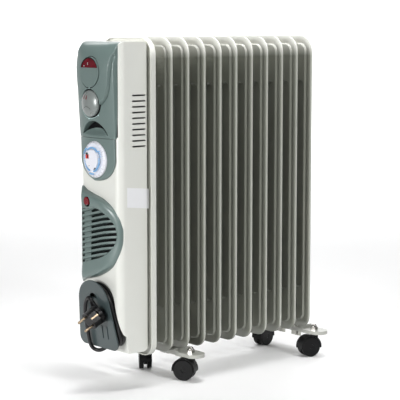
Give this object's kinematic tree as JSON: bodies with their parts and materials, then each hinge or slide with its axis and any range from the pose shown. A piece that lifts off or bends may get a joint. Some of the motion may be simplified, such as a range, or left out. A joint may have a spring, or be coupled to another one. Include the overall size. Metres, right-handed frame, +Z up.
{
  "type": "oil filled radiator heater",
  "caption": "Upright oil filled column heater with a moulded front carrying knob, timer and fan outlet, a cord winder, and a base on swivelling casters.",
  "frame": {"origin": "on the floor, under the middle of the box of the heater without its cord and plug", "axes": "+Z up; -X is the end with the controls; +X runs along the row of fins; -Y is the side seen to the right of the controls"},
  "size_m": [0.5609, 0.2, 0.638],
  "materials": {
    "fin_paint": "gloss",
    "housing_paint": "gloss",
    "sheet_steel": "satin",
    "panel_plastic": "satin",
    "flap_plastic": "satin",
    "knob_plastic": "satin",
    "lens": "gloss",
    "lamp_glass": "gloss",
    "timer_white": "satin",
    "tappet_blue": "satin",
    "switch_red": "satin",
    "inner_plastic": "matte",
    "cord_rubber": "satin",
    "plug_rubber": "satin",
    "pin_brass": "polished",
    "element_steel": "satin",
    "brass_plug": "satin",
    "foot_paint": "gloss",
    "zinc_steel": "satin",
    "nickel": "polished",
    "caster_plastic": "satin",
    "wheel_plastic": "satin",
    "motor_steel": "satin"
  },
  "bodies": {
    "heater": {"fin_01": "fin_paint", "fin_02": "fin_paint", "fin_03": "fin_paint", "fin_04": "fin_paint", "fin_05": "fin_paint", "fin_06": "fin_paint", "fin_07": "fin_paint", "fin_08": "fin_paint", "fin_09": "fin_paint", "fin_10": "fin_paint", "fin_11": "fin_paint", "heating_element": "element_steel", "filler_plug": "brass_plug", "housing_shell": "housing_paint", "housing_back": "sheet_steel", "control_panel": "panel_plastic", "panel_disc": "panel_plastic", "pilot_lens": "lens", "pilot_lamp": "lamp_glass", "thermostat": "inner_plastic", "timer_panel": "panel_plastic", "timer_case": "inner_plastic", "timer_centre": "timer_white", "fan_grille": "panel_plastic", "fan_switch": "inner_plastic", "fan_scroll": "sheet_steel", "fan_motor": "motor_steel", "cord_winder": "flap_plastic", "cord_gland": "inner_plastic", "cord_coil": "cord_rubber", "cord_tail": "cord_rubber", "plug_body": "plug_rubber", "plug_pins": "pin_brass", "foot_clamps": "zinc_steel", "foot_front": "foot_paint", "foot_rear": "foot_paint", "caster_nuts": "nickel", "caster_stems": "zinc_steel"},
    "knob": {"selector_knob": "knob_plastic"},
    "timer_dial": {"timer_ring": "timer_white", "timer_tappets": "tappet_blue"},
    "timer_key": {"timer_switch": "switch_red"},
    "fan_key": {"fan_button": "switch_red"},
    "fan_rotor": {"fan_impeller": "inner_plastic"},
    "caster_1": {"caster_hood_1": "caster_plastic", "caster_axle_1": "zinc_steel"},
    "wheel_1a": {"caster_wheel_1a": "wheel_plastic"},
    "wheel_1b": {"caster_wheel_1b": "wheel_plastic"},
    "caster_2": {"caster_hood_2": "caster_plastic", "caster_axle_2": "zinc_steel"},
    "wheel_2a": {"caster_wheel_2a": "wheel_plastic"},
    "wheel_2b": {"caster_wheel_2b": "wheel_plastic"},
    "caster_3": {"caster_hood_3": "caster_plastic", "caster_axle_3": "zinc_steel"},
    "wheel_3a": {"caster_wheel_3a": "wheel_plastic"},
    "wheel_3b": {"caster_wheel_3b": "wheel_plastic"},
    "caster_4": {"caster_hood_4": "caster_plastic", "caster_axle_4": "zinc_steel"},
    "wheel_4a": {"caster_wheel_4a": "wheel_plastic"},
    "wheel_4b": {"caster_wheel_4b": "wheel_plastic"}
  },
  "joints": [
    {"name": "knob_turn", "type": "hinge", "parent": "heater", "child": "knob", "pos_m": [-0.254, 0, 0.5215], "axis": [1, 0, 0], "range_deg": [0, 270]},
    {"name": "timer_turn", "type": "hinge", "parent": "heater", "child": "timer_dial", "pos_m": [-0.244, 0, 0.42], "axis": [1, 0, 0], "continuous": true},
    {"name": "timer_key_slide", "type": "slide", "parent": "heater", "child": "timer_key", "axis": [0, -1, 0], "range_m": [0, 0.005]},
    {"name": "fan_key_push", "type": "slide", "parent": "heater", "child": "fan_key", "axis": [1, 0, 0], "range_m": [0, 0.003], "stiffness_N_per_m": 200},
    {"name": "fan_spin", "type": "hinge", "parent": "heater", "child": "fan_rotor", "pos_m": [-0.212, 0, 0.283], "axis": [1, 0, 0], "continuous": true},
    {"name": "swivel_1", "type": "hinge", "parent": "heater", "child": "caster_1", "pos_m": [-0.079, -0.07, 0.04], "axis": [0, 0, 1], "continuous": true},
    {"name": "roll_1a", "type": "hinge", "parent": "caster_1", "child": "wheel_1a", "pos_m": [-0.08536, -0.05982, 0.02], "axis": [-0.848, -0.5299, 0], "continuous": true},
    {"name": "roll_1b", "type": "hinge", "parent": "caster_1", "child": "wheel_1b", "pos_m": [-0.08536, -0.05982, 0.02], "axis": [-0.848, -0.5299, 0], "continuous": true},
    {"name": "swivel_2", "type": "hinge", "parent": "heater", "child": "caster_2", "pos_m": [-0.079, 0.07, 0.04], "axis": [0, 0, 1], "continuous": true},
    {"name": "roll_2a", "type": "hinge", "parent": "caster_2", "child": "wheel_2a", "pos_m": [-0.08588, 0.06017, 0.02], "axis": [0.8192, -0.5736, 0], "continuous": true},
    {"name": "roll_2b", "type": "hinge", "parent": "caster_2", "child": "wheel_2b", "pos_m": [-0.08588, 0.06017, 0.02], "axis": [0.8192, -0.5736, 0], "continuous": true},
    {"name": "swivel_3", "type": "hinge", "parent": "heater", "child": "caster_3", "pos_m": [0.2425, -0.07, 0.04], "axis": [0, 0, 1], "continuous": true},
    {"name": "roll_3a", "type": "hinge", "parent": "caster_3", "child": "wheel_3a", "pos_m": [0.23086, -0.0671, 0.02], "axis": [-0.2419, -0.9703, 0], "continuous": true},
    {"name": "roll_3b", "type": "hinge", "parent": "caster_3", "child": "wheel_3b", "pos_m": [0.23086, -0.0671, 0.02], "axis": [-0.2419, -0.9703, 0], "continuous": true},
    {"name": "swivel_4", "type": "hinge", "parent": "heater", "child": "caster_4", "pos_m": [0.2425, 0.07, 0.04], "axis": [0, 0, 1], "continuous": true},
    {"name": "roll_4a", "type": "hinge", "parent": "caster_4", "child": "wheel_4a", "pos_m": [0.23068, 0.06792, 0.02], "axis": [0.1736, -0.9848, 0], "continuous": true},
    {"name": "roll_4b", "type": "hinge", "parent": "caster_4", "child": "wheel_4b", "pos_m": [0.23068, 0.06792, 0.02], "axis": [0.1736, -0.9848, 0], "continuous": true}
  ]
}
